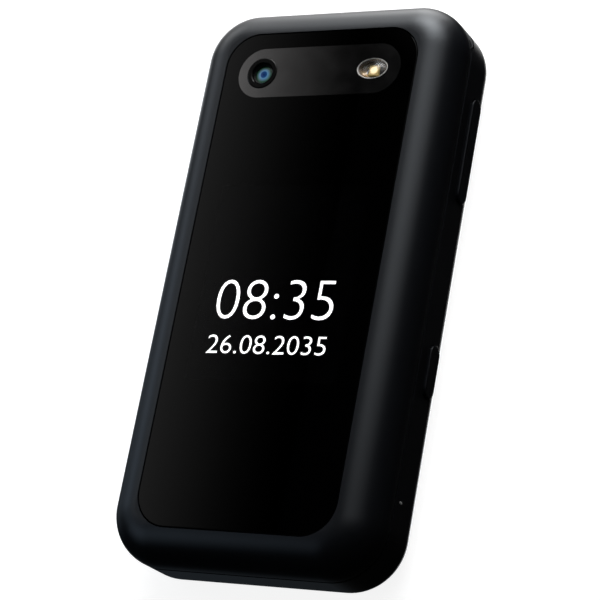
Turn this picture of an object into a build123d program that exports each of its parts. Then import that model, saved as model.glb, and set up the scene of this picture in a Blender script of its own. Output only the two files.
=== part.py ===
from build123d import *

import os
from math import cos, hypot, radians, sin, sqrt

# A clamshell phone, closed and lying on its back. X runs across it, Y from the free end to the hinge
# end, Z from the back to the outer face. The origin is the middle of the back face. Millimetres.

# Outline of the closed phone
width = 53.5
length = 108.0
corner_radius = 10.0
front_edge_radius = 6.8
back_edge_radius = 4.8

# Clearances
seam_gap = 0.3  # between the closed lid and the base
seam_bevel = 0.2  # on the rims that meet at the seam
hinge_gap = 0.25  # between the lid's end and the trough that it turns in
nest_gap = 0.1  # between a nested piece and the wall round it
bond = 0.05  # adhesive, or a face that only just clears its neighbour
key_gap = 0.15  # round each key in its opening
pin_gap = 0.05  # round the hinge pins in the base's knuckles

# Base, from the back cover up
cover_wall = 1.1
cover_rise = 3.7
cover_gap = 0.15
battery_thickness = 4.4
deck = 0.8
board_rise = 0.5
board_thickness = 0.8
dome_sheet_thickness = 0.3
key_mat_thickness = 0.5
key_travel = 0.35
key_flange = 0.5
keypad_plate = 1.3
base_wall = 1.4

# Lid, from its inner face up
inner_plate = 1.4
window_recess = 0.25
window_thickness = 0.7
main_display_thickness = 2.1
lid_board_thickness = 0.7
outer_display_thickness = 1.6
glass_seat_gap = 0.25
glass_thickness = 1.0
lid_wall = 1.2
glass_ledge = 0.9

# Heights that follow
battery_low = cover_wall + cover_gap
battery_high = battery_low + battery_thickness
deck_low = battery_high + cover_gap
deck_high = deck_low + deck
board_low = deck_high + board_rise
board_high = board_low + board_thickness
domes_low = board_high + bond
mat_low = domes_low + dome_sheet_thickness + bond
mat_high = mat_low + key_mat_thickness
key_low = mat_high + bond + key_travel
plate_low = key_low + key_flange + bond
base_height = plate_low + keypad_plate
lid_bottom = base_height + seam_gap
plate_high = lid_bottom + inner_plate
display_low = plate_high + nest_gap
display_high = display_low + main_display_thickness
lid_board_low = display_high + cover_gap
lid_board_high = lid_board_low + lid_board_thickness
outer_display_low = lid_board_high + nest_gap
glass_low = outer_display_low + outer_display_thickness + glass_seat_gap
thickness = glass_low + bond + glass_thickness
lid_ceiling = glass_low - glass_ledge

# Hinge
open_angle = 160.0
knuckle_inset = 14.75  # from the phone's side
knuckle_width = 6.0
knuckle_radius = 4.0
knuckle_side_gap = 0.25
arm_angle = 30.0  # under the seam, seen from the axis
slot_margin = 3.0  # degrees left between the arm and the slot's end
pin_radius = 1.25
web_thickness = 1.2
web_radius = 4.6
spring_radius = 4.4
spring_from_cable = 2.5
cable_radius = 4.0
cable_thickness = 0.4
cable_width = 7.5

# Outer face
glass_end_margin = 6.05
glass_radius = 6.5
glass_shift = -0.2
glass_seat = 1.5
glass_bevel = 0.25
bar_side_margin = 3.1  # from the glass's side edge
bar_height = 10.1
bar_from_end = 14.5
flash_from_end = 5.7  # from the bar's end
ring_radius = 3.1
ring_bore = 2.1
ring_proud = 0.15
lens_thickness = 0.6
camera_size = 6.4
flash_length = 6.2
flash_height = 4.1
led_size = 2.0
led_thickness = 0.6
outer_display_margin = 4.45  # from the glass's side edge
outer_display_length = 38.0
outer_display_y = -2.0
lid_board_margin = 7.75

# Inner face of the lid
display_side_margin = 3.55
display_foot = 10.1  # from the screws' posts at the hinge end
display_head = 2.5  # from the earpiece
view_side = 1.6
view_end = 3.2
window_overlap = 0.1
window_end = 1.0
window_radius = 2.0
earpiece_from_end = 8.5
earpiece_width = 12.0
earpiece_length = 5.0
earpiece_thickness = 2.4
earpiece_slot = 9.0
earpiece_slot_height = 1.2
mesh_thickness = 0.3
bumper_radius = 1.5
bumper_height = 0.5
bumper_x = 14.0
bumper_from_end = 3.5

small_radius = 0.5  # on the corners of small pieces

# Screws
screw_radius = 0.7
screw_head_radius = 1.4
screw_head_height = 0.6
screw_gap = 0.1
boss_radius = 1.9
screw_bite = 3.2
lid_screw_inset = 6.0
lid_screw_from_hinge_end = 18.5
lid_screw_from_free_end = 7.5
base_screw_inset = 5.55
base_screw_corner_inset = 7.25
base_screw_from_hinge_end = 19.0
base_screw_from_free_end = 7.2

# Keys
number_columns = 3
number_rows = 4
key_spacing = 1.2
key_side_margin = 4.25
keypad_foot = 12.7
keypad_head = 9.85  # from the hinge's trough
key_radius = 2.6
key_rim = 0.5  # the flange that holds a key under the plate
key_crown = 0.25
top_key_width = 10.4
top_key_length = 8.2
top_key_spacing = 5.2
clear_key_length = 7.2
clear_key_spacing = 2.9
number_spacing = 2.6
navigation_drop = 0.5
navigation_spacing = 1.6
navigation_length = 20.4
navigation_radius = 7.0
ok_key_radius = 4.6
key_drop = 0.05  # key tops below the base's top face
mat_margin = 1.2

# Side keys
side_key_z = 6.25
side_key_height = 3.5
side_key_proud = 0.5
side_key_depth = 2.05
side_flange = 0.3
side_flange_rim = 0.6
side_flange_play = 0.35
side_key_travel = 0.35
volume_key_length = 20.4
volume_key_from_hinge_end = 25.9
emergency_key_length = 9.8
emergency_key_from_hinge_end = 68.1
switch_thickness = 0.6
switch_length = 3.0
switch_height = 2.0
volume_switch_spread = 7.0
fulcrum_radius = 0.35
fulcrum_height = 2.4

# Inside the base
cover_from_hinge_end = 16.0
battery_side_margin = 7.95
battery_from_cover_end = 2.3
well_gap = 0.2
contact_width = 9.6
contact_depth = 3.0
bay_length = 32.5
bay_wall = 3.6
bay_floor = 1.0
bay_inset = 3.2
board_inset = 3.5
board_from_hinge_end = 16.5
shield_width = 24.0
shield_length = 15.0
shield_height = 1.8
shield_x = 7.5
shield_from_free_end = 23.5
speaker_width = 15.0
speaker_length = 9.0
speaker_height = 3.0
speaker_x = 6.0
speaker_from_free_end = 9.0
grille_slot = 9.0
grille_width = 0.9
grille_pitch = 1.9
grille_count = 4
motor_radius = 1.9
motor_length = 9.0
motor_from_side = 14.25
motor_from_free_end = 28.0
microphone_size = 3.2
microphone_height = 1.1
microphone_from_free_end = 4.6
microphone_hole = 0.5
sim_width = 13.0
sim_length = 12.0
sim_x = 9.0
sim_from_bay = 15.5
usb_width = 7.5
usb_height = 2.6
usb_depth = 6.0
usb_wall = 0.3
usb_from_free_end = 23.0
jack_bore = 1.75
jack_wall = 0.4
jack_depth = 11.0
jack_from_free_end = 12.0
jack_z = 5.75
socket_inset = 0.4
antenna_thickness = 0.4
antenna_length = 20.0
antenna_height = 3.0
antenna_from_free_end = 21.0

# Places that follow
half_width = width / 2
half_length = length / 2
free_end = -half_length
hinge_y = half_length - front_edge_radius
hinge_z = thickness - front_edge_radius
hinge_axis = Axis((0, hinge_y, hinge_z), (1, 0, 0))
trough_radius = front_edge_radius + hinge_gap
barrel_start = hinge_y - front_edge_radius
bay_top_y = hinge_y - trough_radius - lid_wall
knuckle_inner = half_width - knuckle_inset
knuckle_outer = knuckle_inner + knuckle_width
slot_inner = knuckle_inner - knuckle_side_gap
slot_outer = knuckle_outer + knuckle_side_gap
arm_top = base_height - hinge_z
arm_length = trough_radius + lid_wall
glass_width = width - 2 * front_edge_radius
glass_length = length - 2 * glass_end_margin
bar_length = glass_width - 2 * bar_side_margin
bar_y = half_length - bar_from_end
camera_x = bar_height / 2 - bar_length / 2
flash_x = bar_length / 2 - flash_from_end
outer_display_width = glass_width - 2 * outer_display_margin
lid_screw_x = half_width - lid_screw_inset
lid_screw_top_y = half_length - lid_screw_from_hinge_end
lid_screw_low_y = free_end + lid_screw_from_free_end
earpiece_y = free_end + earpiece_from_end
main_display_low_y = earpiece_y + earpiece_length / 2 + display_head
main_display_width = width - 2 * display_side_margin
main_display_length = lid_screw_top_y - boss_radius - display_foot - main_display_low_y
main_display_y = main_display_low_y + main_display_length / 2
view_width = main_display_width - 2 * view_side
view_length = main_display_length - 2 * view_end
window_width = main_display_width + 2 * window_overlap
window_length = main_display_length - 2 * window_end
lid_board_width = width - 2 * lid_board_margin
bumper_y = free_end + bumper_from_end
display_window_low = lid_bottom + window_recess
lid_boss_low = plate_high + nest_gap
half_turn = 180.0
nose_steps = [0.0, 0.3, 0.55, 0.75, 0.9, 1.0]  # places along the curve of the lid's end


def body_block(inset, low, high, edge_radius, rounded_face, bevel=0.0):
    """A slab of the phone's outline, drawn in by inset, with its top (-1) or bottom (0) edge rounded.

    The other edge is bevelled where a bevel is given."""
    with BuildPart() as block:
        with BuildSketch(Plane.XY.offset(low)):
            RectangleRounded(width - 2 * inset, length - 2 * inset, corner_radius - inset)
        extrude(amount=high - low)
        if bevel > 0:
            chamfer(block.faces().sort_by(Axis.Z)[-1 - rounded_face].edges(), bevel)
        fillet(block.faces().sort_by(Axis.Z)[rounded_face].edges(), edge_radius)
    return block.part


def nose(inset):
    """What the lid's rounded end sweeps as it turns about the hinge axis, drawn in by inset."""
    reach = front_edge_radius - inset
    core = corner_radius - front_edge_radius
    shoulder = half_width - corner_radius
    taper = sqrt((reach + core) ** 2 - core**2)
    heights = [sqrt(max(reach**2 - (hypot(step * taper, core) - core) ** 2, 0.0)) for step in nose_steps]
    right = [(shoulder + step * taper, height) for step, height in zip(nose_steps, heights)]
    left = [(-x, y) for x, y in right]
    with BuildPart() as turned:
        with BuildSketch(Plane((0, hinge_y, hinge_z))):
            with BuildLine():
                Spline(*right, tangents=[(1, 0), (0, -1)])
                Spline(*left, tangents=[(-1, 0), (0, -1)])
                Line(left[0], right[0])
                Line(left[-1], right[-1])
            make_face()
        revolve(axis=hinge_axis)
    return turned.part


def across(x):
    """A plane square to the hinge axis at x, drawn in Y and Z from the axis."""
    return Plane(origin=(x, hinge_y, hinge_z), x_dir=(0, 1, 0), z_dir=(1, 0, 0))


def slots(low_angle, high_angle):
    """The two slots in the lid's end, as wide as the base's knuckles and open between two angles."""
    with BuildPart() as cut:
        for start in (slot_inner, -slot_outer):
            with BuildSketch(across(start)):
                with BuildLine():
                    first = (trough_radius * cos(radians(low_angle)), trough_radius * sin(radians(low_angle)))
                    last = (trough_radius * cos(radians(high_angle)), trough_radius * sin(radians(high_angle)))
                    middle_angle = radians((low_angle + high_angle) / 2)
                    middle = (trough_radius * cos(middle_angle), trough_radius * sin(middle_angle))
                    Line((0, 0), first)
                    ThreePointArc(first, middle, last)
                    Line(last, (0, 0))
                make_face()
            extrude(amount=slot_outer - slot_inner)
    return cut.part


lid_swing = (
    body_block(-hinge_gap, lid_bottom, thickness + hinge_gap, front_edge_radius + hinge_gap, -1)
    .rotate(hinge_axis, -open_angle)
)
slot_cut = slots(-half_turn - slot_margin, open_angle + slot_margin + arm_angle - half_turn)
parts = []

# Lid outer shell: the rounded cover, open below, with a seat for the glass
lid_hollow = body_block(lid_wall, lid_bottom - lid_wall, lid_ceiling, lid_ceiling - hinge_z, -1)
lid_screw_places = [
    (x, y) for y in (lid_screw_low_y, lid_screw_top_y) for x in (-lid_screw_x, lid_screw_x)
]
screw_high = lid_boss_low + screw_bite

with BuildPart() as lid_outer_shell:
    add(body_block(0, lid_bottom, thickness, front_edge_radius, -1, seam_bevel))
    add(lid_hollow, mode=Mode.SUBTRACT)
    with BuildSketch(Plane.XY.offset(lid_boss_low)):
        with Locations(*lid_screw_places):
            Circle(boss_radius)
    extrude(amount=lid_ceiling - lid_boss_low)
    with BuildSketch(Plane.XY.offset(lid_boss_low)):
        with Locations(*lid_screw_places):
            Circle(screw_radius)
    extrude(amount=screw_bite, mode=Mode.SUBTRACT)
    with BuildSketch(Plane.XY.offset(glass_low)):
        with Locations((0, glass_shift)):
            RectangleRounded(glass_width, glass_length, glass_radius)
    extrude(amount=thickness - glass_low, mode=Mode.SUBTRACT)
    with BuildSketch(Plane.XY.offset(lid_ceiling - bond)):
        with Locations((0, glass_shift)):
            RectangleRounded(
                glass_width - 2 * glass_seat, glass_length - 2 * glass_seat, glass_radius - glass_seat
            )
    extrude(amount=thickness - lid_ceiling, mode=Mode.SUBTRACT)
    add(slot_cut, mode=Mode.SUBTRACT)
lid_outer_shell.part.label = "lid_outer_shell"
parts.append(lid_outer_shell.part)

# Window glass, with an opening the shape of the camera bar
with BuildPart() as window_glass:
    with BuildSketch(Plane.XY.offset(glass_low + bond)):
        with Locations((0, glass_shift)):
            RectangleRounded(
                glass_width - 2 * bond, glass_length - 2 * bond, glass_radius - bond
            )
        with Locations((0, bar_y)):
            SlotOverall(bar_length, bar_height, mode=Mode.SUBTRACT)
    extrude(amount=glass_thickness)
    chamfer(window_glass.faces().sort_by(Axis.Z)[-1].outer_wire().edges(), glass_bevel)
window_glass.part.label = "window_glass"
parts.append(window_glass.part)

# Camera bar, camera and flash
with BuildPart() as camera_bar:
    with BuildSketch(Plane.XY.offset(glass_low + bond)):
        with Locations((0, bar_y)):
            SlotOverall(bar_length - 2 * bond, bar_height - 2 * bond)
        with Locations((camera_x, bar_y)):
            Circle(ring_radius + bond, mode=Mode.SUBTRACT)
        with Locations((flash_x, bar_y)):
            Ellipse(flash_length / 2 + bond, flash_height / 2 + bond, mode=Mode.SUBTRACT)
    extrude(amount=glass_thickness - bond)
camera_bar.part.label = "camera_bar"
parts.append(camera_bar.part)

with BuildPart() as camera_ring:
    with BuildSketch(Plane.XY.offset(glass_low + bond)):
        with Locations((camera_x, bar_y)):
            Circle(ring_radius)
            Circle(ring_bore, mode=Mode.SUBTRACT)
    extrude(amount=glass_thickness + ring_proud - bond)
    chamfer(camera_ring.faces().sort_by(Axis.Z)[-1].edges(), ring_proud)
camera_ring.part.label = "camera_ring"
parts.append(camera_ring.part)

with BuildPart() as camera_lens:
    with BuildSketch(Plane.XY.offset(glass_low + bond)):
        with Locations((camera_x, bar_y)):
            Circle(ring_bore - bond)
    extrude(amount=lens_thickness)
camera_lens.part.label = "camera_lens"
parts.append(camera_lens.part)

with BuildPart() as camera_module:
    with BuildSketch(Plane.XY.offset(lid_boss_low)):
        with Locations((camera_x, bar_y)):
            RectangleRounded(camera_size, camera_size, small_radius)
    extrude(amount=glass_low - lid_boss_low)
camera_module.part.label = "camera_module"
parts.append(camera_module.part)

with BuildPart() as flash_lens:
    with BuildSketch(Plane.XY.offset(glass_low + bond)):
        with Locations((flash_x, bar_y)):
            Ellipse(flash_length / 2, flash_height / 2)
    extrude(amount=glass_thickness)
flash_lens.part.label = "flash_lens"
parts.append(flash_lens.part)

with BuildPart() as flash_led:
    with BuildSketch(Plane.XY.offset(glass_low - led_thickness)):
        with Locations((flash_x, bar_y)):
            Rectangle(led_size, led_size)
    extrude(amount=led_thickness)
flash_led.part.label = "flash_led"
parts.append(flash_led.part)

# Displays and the lid's circuit board
with BuildPart() as outer_display:
    with BuildSketch(Plane.XY.offset(outer_display_low)):
        with Locations((0, outer_display_y)):
            Rectangle(outer_display_width, outer_display_length)
    extrude(amount=outer_display_thickness)
outer_display.part.label = "outer_display"
parts.append(outer_display.part)

with BuildPart() as lid_circuit_board:
    with BuildSketch(Plane.XY.offset(lid_board_low)):
        with Locations((0, main_display_y)):
            Rectangle(lid_board_width, main_display_length)
    extrude(amount=lid_board_thickness)
lid_circuit_board.part.label = "lid_circuit_board"
parts.append(lid_circuit_board.part)

with BuildPart() as main_display:
    with BuildSketch(Plane.XY.offset(display_low)):
        with Locations((0, main_display_y)):
            Rectangle(main_display_width, main_display_length)
    extrude(amount=main_display_thickness)
main_display.part.label = "main_display"
parts.append(main_display.part)

with BuildPart() as main_display_window:
    with BuildSketch(Plane.XY.offset(display_window_low)):
        with Locations((0, main_display_y)):
            RectangleRounded(window_width, window_length, window_radius)
    extrude(amount=window_thickness)
main_display_window.part.label = "main_display_window"
parts.append(main_display_window.part)

# Lid inner shell: the plate round the display, and the lower half of the hinge barrel with its webs
with BuildPart() as lid_inner_shell:
    add(nose(0))
    add(nose(lid_wall), mode=Mode.SUBTRACT)
    add(body_block(0, 0, lid_bottom, back_edge_radius, 0), mode=Mode.INTERSECT)
    add(slot_cut, mode=Mode.SUBTRACT)
    for start in (
        slot_inner - web_thickness,
        slot_outer,
        -slot_inner,
        -slot_outer - web_thickness,
    ):
        with BuildSketch(across(start)):
            Circle(web_radius)
        extrude(amount=web_thickness)
        with BuildSketch(across(start)):
            Circle(front_edge_radius - bond)
            with Locations((0, lid_bottom - hinge_z)):
                Rectangle(width, width, align=(Align.CENTER, Align.MIN), mode=Mode.SUBTRACT)
        extrude(amount=web_thickness)
    with BuildSketch(Plane.XY.offset(lid_bottom)):
        RectangleRounded(
            width - 2 * (lid_wall + nest_gap),
            length - 2 * (lid_wall + nest_gap),
            corner_radius - lid_wall - nest_gap,
        )
        with Locations((0, barrel_start + lid_wall)):
            Rectangle(width, length, align=(Align.CENTER, Align.MIN), mode=Mode.SUBTRACT)
    extrude(amount=inner_plate)
    with BuildSketch(across(-half_width)):
        Circle(pin_radius)
    extrude(amount=width, mode=Mode.SUBTRACT)
    with BuildSketch(Plane.XY.offset(lid_bottom)):
        with Locations((0, main_display_y)):
            RectangleRounded(
                window_width + 2 * bond, window_length + 2 * bond, window_radius + bond
            )
    extrude(amount=window_recess + window_thickness + bond, mode=Mode.SUBTRACT)
    with BuildSketch(Plane.XY.offset(lid_bottom)):
        with Locations((0, main_display_y)):
            Rectangle(view_width, view_length)
    extrude(amount=inner_plate, mode=Mode.SUBTRACT)
    with BuildSketch(Plane.XY.offset(lid_bottom)):
        with Locations((0, earpiece_y)):
            SlotOverall(earpiece_slot, earpiece_slot_height)
        with Locations(*lid_screw_places):
            Circle(screw_radius + screw_gap)
    extrude(amount=inner_plate, mode=Mode.SUBTRACT)
    with BuildSketch(Plane.XY.offset(lid_bottom)):
        with Locations(*lid_screw_places):
            Circle(screw_head_radius + screw_gap)
    extrude(amount=screw_head_height + screw_gap, mode=Mode.SUBTRACT)
    with BuildSketch(Plane.XY.offset(lid_bottom)):
        with Locations((-bumper_x, bumper_y), (bumper_x, bumper_y)):
            Circle(bumper_radius + bond)
    extrude(amount=bumper_height - seam_gap / 2, mode=Mode.SUBTRACT)
lid_inner_shell.part.label = "lid_inner_shell"
parts.append(lid_inner_shell.part)

with BuildPart() as earpiece_mesh:
    with BuildSketch(Plane.XY.offset(lid_bottom + window_recess)):
        with Locations((0, earpiece_y)):
            SlotOverall(earpiece_slot - 2 * bond, earpiece_slot_height - 2 * bond)
    extrude(amount=mesh_thickness)
earpiece_mesh.part.label = "earpiece_mesh"
parts.append(earpiece_mesh.part)

with BuildPart() as earpiece_speaker:
    with BuildSketch(Plane.XY.offset(display_low)):
        with Locations((0, earpiece_y)):
            RectangleRounded(earpiece_width, earpiece_length, small_radius)
    extrude(amount=earpiece_thickness)
earpiece_speaker.part.label = "earpiece_speaker"
parts.append(earpiece_speaker.part)

with BuildPart() as lid_bumpers:
    with BuildSketch(Plane.XY.offset(lid_bottom - seam_gap / 2)):
        with Locations((-bumper_x, bumper_y), (bumper_x, bumper_y)):
            Circle(bumper_radius)
    extrude(amount=bumper_height)
lid_bumpers.part.label = "lid_bumpers"
parts.append(lid_bumpers.part)

with BuildPart() as lid_screws:
    with BuildSketch(Plane.XY.offset(lid_bottom + screw_gap)):
        with Locations(*lid_screw_places):
            Circle(screw_head_radius)
    extrude(amount=screw_head_height)
    with BuildSketch(Plane.XY.offset(lid_bottom + screw_gap + screw_head_height)):
        with Locations(*lid_screw_places):
            Circle(screw_radius)
    extrude(amount=screw_high - lid_bottom - screw_gap - screw_head_height)
lid_screws.part.label = "lid_screws"
parts.append(lid_screws.part)

# Hinge: two pins, the spring module between the lid and the base, and the rolled flexible circuit
barrel_half = slot_inner - web_thickness - bond
spring_length = 2 * barrel_half - cable_width - spring_from_cable
pin_length = knuckle_width + 2 * knuckle_side_gap + 2 * web_thickness

with BuildPart() as hinge_pins:
    for start in (slot_inner - web_thickness, -slot_outer - web_thickness):
        with BuildSketch(across(start)):
            Circle(pin_radius)
        extrude(amount=pin_length)
hinge_pins.part.label = "hinge_pins"
parts.append(hinge_pins.part)

with BuildPart() as hinge_spring_module:
    with BuildSketch(across(barrel_half - spring_length)):
        Circle(spring_radius)
    extrude(amount=spring_length)
    chamfer(hinge_spring_module.edges().filter_by(GeomType.CIRCLE), small_radius)
hinge_spring_module.part.label = "hinge_spring_module"
parts.append(hinge_spring_module.part)

with BuildPart() as hinge_flex_cable:
    with BuildSketch(across(-barrel_half)):
        Circle(cable_radius)
        Circle(cable_radius - cable_thickness, mode=Mode.SUBTRACT)
    extrude(amount=cable_width)
hinge_flex_cable.part.label = "hinge_flex_cable"
parts.append(hinge_flex_cable.part)

# Base: what the pieces inside have in common
base_screw_x = half_width - base_screw_inset
base_screw_low_x = half_width - base_screw_corner_inset
base_screw_top_y = half_length - base_screw_from_hinge_end
base_screw_low_y = free_end + base_screw_from_free_end
base_screw_places = [
    (-base_screw_low_x, base_screw_low_y),
    (base_screw_low_x, base_screw_low_y),
    (-base_screw_x, base_screw_top_y),
    (base_screw_x, base_screw_top_y),
]
cover_end = half_length - cover_from_hinge_end
bay_end = free_end + bay_length
battery_width = width - 2 * battery_side_margin
battery_low_y = bay_end + bay_wall + well_gap
battery_length = cover_end - battery_from_cover_end - battery_low_y
battery_y = battery_low_y + battery_length / 2
volume_key_y = half_length - volume_key_from_hinge_end
emergency_key_y = half_length - emergency_key_from_hinge_end
speaker_y = free_end + speaker_from_free_end
usb_y = free_end + usb_from_free_end
jack_y = free_end + jack_from_free_end
sim_y = bay_end + sim_from_bay
core_inset = cover_wall + cover_gap
floor_high = battery_low + bay_floor
side_key_outer = half_width + side_key_proud
side_key_inner = side_key_outer - side_key_depth
flange_outer = side_key_inner + side_flange
pocket_inner = side_key_inner - side_key_travel - bond
switch_inner = pocket_inner - switch_thickness - bond
side_keys = [(volume_key_y, volume_key_length), (emergency_key_y, emergency_key_length)]
grille_places = [
    (speaker_x, speaker_y + (place - (grille_count - 1) / 2) * grille_pitch)
    for place in range(grille_count)
]
switch_places = [
    (volume_key_y - volume_switch_spread, side_key_z),
    (volume_key_y + volume_switch_spread, side_key_z),
    (emergency_key_y, side_key_z),
]
usb_z = board_low - bond - usb_height / 2

with BuildPart() as rear_housing:
    add(body_block(0, 0, base_height, back_edge_radius, 0, seam_bevel))
    with BuildSketch(Plane.XY):
        with Locations((0, cover_end + cover_gap)):
            Rectangle(2 * width, 2 * length, align=(Align.CENTER, Align.MAX))
    extrude(amount=cover_rise + cover_gap, mode=Mode.SUBTRACT)
    add(body_block(core_inset, battery_low, deck_high, back_edge_radius - core_inset, 0))
    add(nose(-hinge_gap), mode=Mode.SUBTRACT)
    add(lid_swing, mode=Mode.SUBTRACT)
    with BuildSketch(Plane.XY.offset(deck_high)):
        RectangleRounded(
            width - 2 * base_wall, length - 2 * base_wall, corner_radius - base_wall
        )
        with Locations((0, bay_top_y)):
            Rectangle(width, length, align=(Align.CENTER, Align.MIN), mode=Mode.SUBTRACT)
    extrude(amount=base_height - deck_high, mode=Mode.SUBTRACT)
    with BuildSketch(Plane.XY.offset(floor_high)):
        RectangleRounded(
            width - 2 * bay_inset, length - 2 * bay_inset, corner_radius - bay_inset
        )
        with Locations((0, bay_end)):
            Rectangle(width, length, align=(Align.CENTER, Align.MIN), mode=Mode.SUBTRACT)
    extrude(amount=deck_high - floor_high, mode=Mode.SUBTRACT)
    with BuildSketch(Plane.XY.offset(battery_low)):
        with Locations((0, battery_y)):
            Rectangle(battery_width + 2 * well_gap, battery_length + 2 * well_gap)
    extrude(amount=deck_low - battery_low, mode=Mode.SUBTRACT)
    with BuildSketch(Plane.XY.offset(floor_high)):
        with Locations((0, bay_end)):
            Rectangle(
                contact_width + 2 * nest_gap,
                battery_low_y - bay_end,
                align=(Align.CENTER, Align.MIN),
            )
    extrude(amount=deck_low - floor_high, mode=Mode.SUBTRACT)
    with BuildSketch(Plane.XY.offset(deck_low)):
        with Locations((sim_x, sim_y)):
            Rectangle(sim_width + 2 * nest_gap, sim_length + 2 * nest_gap)
    extrude(amount=deck, mode=Mode.SUBTRACT)
    with BuildSketch(Plane.XY.offset(floor_high)):
        with Locations(*base_screw_places[:2]):
            Circle(boss_radius + screw_gap)
    extrude(amount=deck_high - floor_high)
    with BuildSketch(Plane.XY.offset(battery_low)):
        with Locations(*base_screw_places):
            Circle(screw_radius + screw_gap)
    extrude(amount=deck_high - battery_low, mode=Mode.SUBTRACT)
    with BuildSketch(Plane.XY.offset(battery_low)):
        with Locations(*base_screw_places):
            Circle(screw_head_radius + screw_gap)
    extrude(amount=screw_head_height + 2 * screw_gap, mode=Mode.SUBTRACT)
    with BuildSketch(Plane.XY.offset(battery_low)):
        with Locations(*grille_places):
            SlotOverall(grille_slot, grille_width)
    extrude(amount=bay_floor, mode=Mode.SUBTRACT)
    for key_y, key_span in side_keys:
        with BuildSketch(Plane.YZ.offset(flange_outer)):
            with Locations((key_y, side_key_z)):
                SlotOverall(key_span + 2 * key_gap, side_key_height + 2 * key_gap)
        extrude(amount=width, mode=Mode.SUBTRACT)
        with BuildSketch(Plane.YZ.offset(pocket_inner)):
            with Locations((key_y, side_key_z)):
                SlotOverall(
                    key_span + 2 * (key_gap + side_flange_rim), side_key_height + 2 * key_gap
                )
        extrude(amount=flange_outer + side_flange_play - pocket_inner, mode=Mode.SUBTRACT)
    with BuildSketch(Plane.YZ.offset(switch_inner)):
        with Locations(*switch_places):
            Rectangle(switch_length + 2 * nest_gap, switch_height + 2 * nest_gap)
    extrude(amount=pocket_inner - switch_inner, mode=Mode.SUBTRACT)
    with BuildSketch(Plane.YZ.offset(-half_width)):
        with Locations((usb_y, usb_z)):
            RectangleRounded(usb_width + 2 * nest_gap, usb_height + 2 * nest_gap, small_radius)
        with Locations((jack_y, jack_z)):
            Circle(jack_bore)
    extrude(amount=usb_depth, mode=Mode.SUBTRACT)
    for start in (knuckle_inner, -knuckle_outer):
        with BuildSketch(across(start)):
            with BuildLine():
                arm_rise = sin(radians(arm_angle)) / cos(radians(arm_angle))
                Polyline(
                    (arm_top / arm_rise, arm_top),
                    (-arm_length, arm_top),
                    (-arm_length, -arm_length * arm_rise),
                    close=True,
                )
            make_face()
            Circle(knuckle_radius)
            Circle(pin_radius + pin_gap, mode=Mode.SUBTRACT)
        extrude(amount=knuckle_width)
rear_housing.part.label = "rear_housing"
parts.append(rear_housing.part)

# Back cover: a tray that slides off towards the free end
with BuildPart() as back_cover:
    add(body_block(0, 0, cover_rise + back_edge_radius, back_edge_radius, 0))
    add(
        body_block(
            cover_wall,
            cover_wall,
            cover_rise + 2 * back_edge_radius,
            back_edge_radius - cover_wall,
            0,
        ),
        mode=Mode.SUBTRACT,
    )
    with BuildSketch(Plane.XY.offset(cover_rise)):
        Rectangle(2 * width, 2 * length)
    extrude(amount=2 * back_edge_radius, mode=Mode.SUBTRACT)
    with BuildSketch(Plane.XY):
        with Locations((0, cover_end)):
            Rectangle(2 * width, length, align=(Align.CENTER, Align.MIN))
    extrude(amount=cover_rise, mode=Mode.SUBTRACT)
    with BuildSketch(Plane.XY):
        with Locations(*grille_places):
            SlotOverall(grille_slot, grille_width)
    extrude(amount=cover_wall, mode=Mode.SUBTRACT)
back_cover.part.label = "back_cover"
parts.append(back_cover.part)

# Keypad: the cluster hangs from the hinge end, and the number rows fill what is left of the plate
keypad_half = half_width - key_side_margin
keypad_high_y = hinge_y - trough_radius - keypad_head
keypad_low_y = free_end + keypad_foot
top_key_x = keypad_half - top_key_width / 2
soft_key_y = keypad_high_y - top_key_length / 2
call_key_y = soft_key_y - top_key_length - top_key_spacing
navigation_y = keypad_high_y - navigation_drop - navigation_length / 2
navigation_width = 2 * (top_key_x - top_key_width / 2 - navigation_spacing)
clear_key_y = navigation_y - (navigation_length + clear_key_length) / 2 - clear_key_spacing
number_high_y = clear_key_y - clear_key_length / 2 - number_spacing
key_width = (2 * keypad_half - (number_columns - 1) * key_spacing) / number_columns
number_length = number_high_y - keypad_low_y
key_length = (number_length - (number_rows - 1) * key_spacing) / number_rows
key_column = key_width + key_spacing
key_row = key_length + key_spacing
first_row_y = number_high_y - key_length / 2
last_row_y = keypad_low_y + key_length / 2
microphone_y = free_end + microphone_from_free_end

# Keys: name, width, length, corner radius and middle of each
key_shapes = [
    ("soft_key_left", top_key_width, top_key_length, key_radius, -top_key_x, soft_key_y),
    ("soft_key_right", top_key_width, top_key_length, key_radius, top_key_x, soft_key_y),
    ("call_key", top_key_width, top_key_length, key_radius, -top_key_x, call_key_y),
    ("end_key", top_key_width, top_key_length, key_radius, top_key_x, call_key_y),
    ("clear_key", key_width, clear_key_length, key_radius, 0, clear_key_y),
]
for row in range(number_rows - 1):
    for column in range(number_columns):
        key_shapes.append(
            (
                f"number_key_{number_columns * row + column + 1}",
                key_width,
                key_length,
                key_radius,
                (column - 1) * key_column,
                first_row_y - row * key_row,
            )
        )
for column, name in enumerate(("star_key", "number_key_0", "hash_key")):
    key_shapes.append(
        (name, key_width, key_length, key_radius, (column - 1) * key_column, last_row_y)
    )
key_high = base_height - key_drop
ok_opening = ok_key_radius + key_gap

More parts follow.
